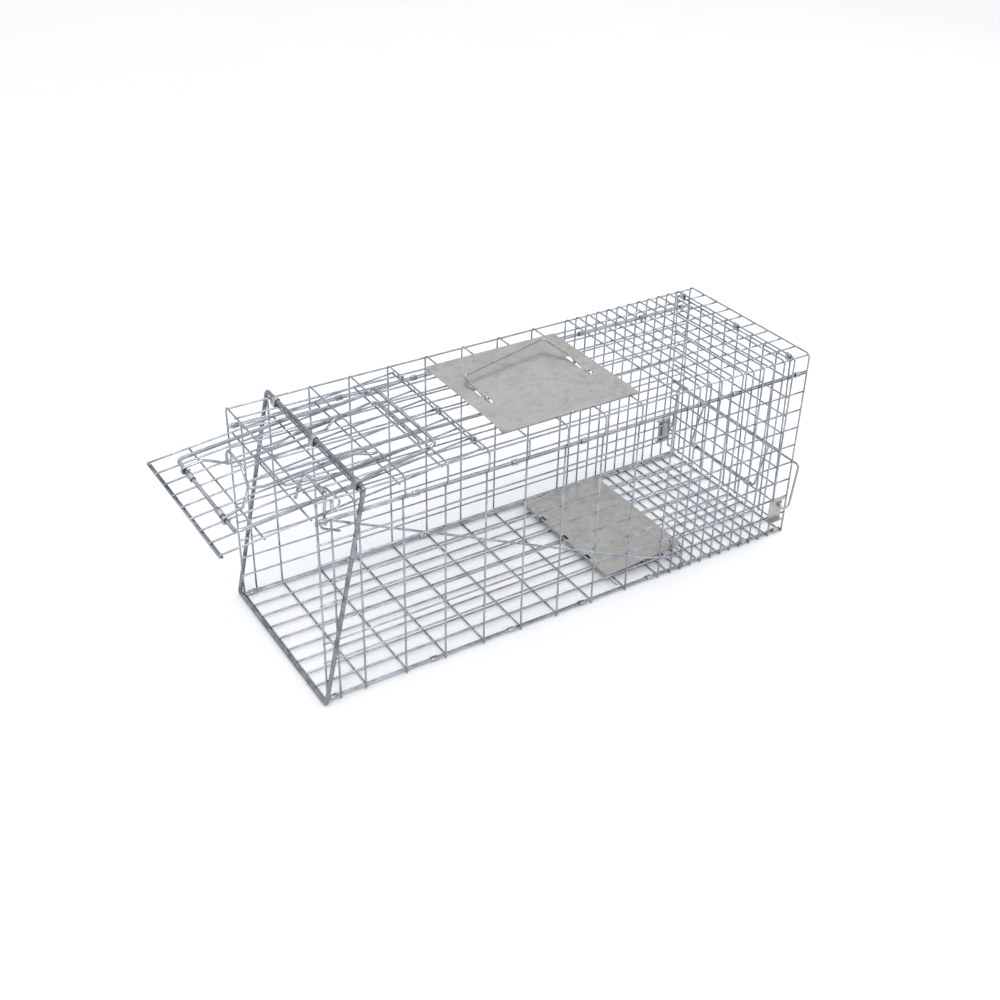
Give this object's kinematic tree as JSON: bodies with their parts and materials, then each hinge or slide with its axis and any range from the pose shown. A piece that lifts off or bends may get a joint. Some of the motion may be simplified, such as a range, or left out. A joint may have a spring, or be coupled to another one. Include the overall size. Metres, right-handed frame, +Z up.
{
  "type": "live catch trap",
  "caption": "Welded wire cage trap with an overhead front door, lock frame, treadle trigger, carry handle and a latched rear door.",
  "frame": {"origin": "middle of the bounding box, on the ground", "axes": "+X from the entrance to the rear door, +Y from the near side to the far side, +Z up"},
  "size_m": [0.764, 0.246, 0.2727],
  "materials": {
    "mesh_wire": "welded wire mesh, zinc coated, bright blue-grey",
    "bright_wire": "drawn and zinc plated wire, smooth",
    "galvanised_sheet": "hot-dip galvanised sheet, matte with a faint spangle",
    "crimped_strip": "crimped zinc coated strip, semi bright"
  },
  "bodies": {
    "cage": {"brace_ferrule_1": "crimped_strip", "brace_ferrule_2": "crimped_strip", "brace_ferrule_3": "crimped_strip", "clip_far_bottom_1": "crimped_strip", "clip_far_bottom_2": "crimped_strip", "clip_far_bottom_3": "crimped_strip", "clip_far_bottom_4": "crimped_strip", "clip_far_bottom_5": "crimped_strip", "clip_far_top_1": "crimped_strip", "clip_far_top_2": "crimped_strip", "clip_far_top_3": "crimped_strip", "clip_far_top_4": "crimped_strip", "clip_far_top_5": "crimped_strip", "clip_near_bottom_1": "crimped_strip", "clip_near_bottom_2": "crimped_strip", "clip_near_bottom_3": "crimped_strip", "clip_near_bottom_4": "crimped_strip", "clip_near_bottom_5": "crimped_strip", "clip_near_bottom_6": "crimped_strip", "clip_near_top_1": "crimped_strip", "clip_near_top_2": "crimped_strip", "clip_near_top_3": "crimped_strip", "clip_near_top_4": "crimped_strip", "clip_near_top_5": "crimped_strip", "clip_near_top_6": "crimped_strip", "door_hinge_ferrule_1": "crimped_strip", "door_hinge_ferrule_2": "crimped_strip", "door_hinge_ferrule_3": "crimped_strip", "floor_panel": "mesh_wire", "front_brace": "bright_wire", "guard_plate": "galvanised_sheet", "rear_hinge_ferrule_1": "crimped_strip", "rear_hinge_ferrule_2": "crimped_strip", "rear_hinge_ferrule_3": "crimped_strip", "rear_latch_plate_far": "galvanised_sheet", "rear_latch_plate_near": "galvanised_sheet", "side_panel_far": "mesh_wire", "side_panel_near": "mesh_wire", "top_panel": "mesh_wire", "treadle_hinge_wire": "bright_wire", "trigger_ferrule": "crimped_strip", "trigger_hook_wire": "bright_wire", "trigger_tube": "crimped_strip"},
    "front_door": {"front_door": "mesh_wire", "door_edge_rod": "bright_wire", "door_guide_wire": "bright_wire", "door_clip_near": "crimped_strip", "door_clip_far": "crimped_strip"},
    "lock_frame": {"lock_frame": "bright_wire", "lock_bar_ferrule_1": "crimped_strip", "lock_bar_ferrule_2": "crimped_strip"},
    "lift_link": {"lift_link": "bright_wire"},
    "carry_handle": {"carry_handle": "bright_wire"},
    "treadle": {"treadle_plate": "galvanised_sheet"},
    "trigger_rod": {"trigger_rod": "bright_wire"},
    "trigger_lever": {"trigger_lever": "bright_wire"},
    "rear_door": {"rear_door": "mesh_wire", "rear_latch_ferrule_1": "crimped_strip", "rear_latch_ferrule_2": "crimped_strip"},
    "rear_latch": {"rear_latch_frame": "bright_wire"}
  },
  "joints": [
    {"name": "front_door_hinge", "type": "hinge", "parent": "cage", "child": "front_door", "pos_m": [-0.08028, 0, 0.2534], "axis": [0, -1, 0], "range_deg": [0, 48.5]},
    {"name": "lock_frame_hinge", "type": "hinge", "parent": "cage", "child": "lock_frame", "pos_m": [-0.12148, 0, 0.26035], "axis": [0, -1, 0], "range_deg": [0, 54.6]},
    {"name": "lift_link_hinge", "type": "hinge", "parent": "lock_frame", "child": "lift_link", "pos_m": [-0.35448, 0, 0.2298], "axis": [0, -1, 0], "range_deg": [-6.1, 0]},
    {"name": "carry_handle_hinge", "type": "hinge", "parent": "cage", "child": "carry_handle", "pos_m": [0.04352, -0.027, 0.2583], "axis": [1, 0, 0], "range_deg": [0, 81.5]},
    {"name": "treadle_hinge", "type": "hinge", "parent": "cage", "child": "treadle", "pos_m": [0.11252, 0, 0.0074], "axis": [0, 1, 0], "range_deg": [0, 4.8]},
    {"name": "trigger_rod_hinge", "type": "hinge", "parent": "treadle", "child": "trigger_rod", "pos_m": [0.21352, -0.0878, 0.01875], "axis": [0, 1, 0], "range_deg": [-3.8, 0]},
    {"name": "trigger_lever_hinge", "type": "hinge", "parent": "cage", "child": "trigger_lever", "pos_m": [-0.26708, -0.1045, 0.25985], "axis": [0, -1, 0], "range_deg": [0, 7.9]},
    {"name": "rear_door_hinge", "type": "hinge", "parent": "cage", "child": "rear_door", "pos_m": [0.35192, 0, 0.2536], "axis": [0, -1, 0], "range_deg": [0, 80]},
    {"name": "rear_latch_hinge", "type": "hinge", "parent": "rear_door", "child": "rear_latch", "pos_m": [0.36372, 0, 0.0476], "axis": [0, 1, 0], "range_deg": [0, 25]}
  ],
  "couplings": [
    {"joint": "lock_frame_hinge", "follows": "front_door_hinge", "ratio": 1.124},
    {"joint": "lift_link_hinge", "follows": "front_door_hinge", "ratio": -0.124},
    {"joint": "trigger_rod_hinge", "follows": "treadle_hinge", "ratio": -0.7875},
    {"joint": "trigger_lever_hinge", "follows": "treadle_hinge", "ratio": 1.635}
  ]
}
